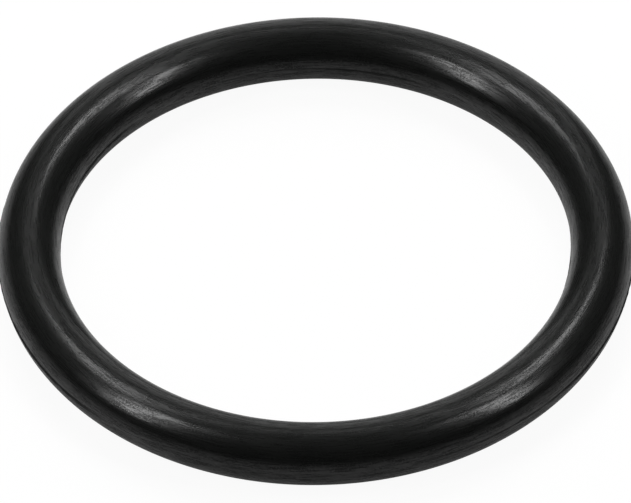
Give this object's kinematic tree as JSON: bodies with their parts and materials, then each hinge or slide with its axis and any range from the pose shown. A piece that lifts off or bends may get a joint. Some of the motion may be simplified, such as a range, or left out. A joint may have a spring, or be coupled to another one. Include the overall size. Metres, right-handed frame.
{
  "type": "rubber o-ring",
  "caption": "Moulded black rubber o-ring: a round cord closed into a ring, with a fine trimmed parting line round the hole and round the outside. Seals a shaft, a bore or a flanged joint.",
  "frame": {"origin": "centre of the ring, half way up the cord, where the parting plane of the mould lies", "axes": "+Z along the ring's axis; the ring is the same all the way round, so +X and +Y are any two radii at right angles"},
  "size_m": [0.0358, 0.0358, 0.0034],
  "materials": {
    "nitrile_rubber": "black nitrile rubber, compression moulded: satin, with faint turning marks from the mould running round the ring"
  },
  "bodies": {
    "root": {"o_ring": "nitrile_rubber"}
  },
  "joints": []
}
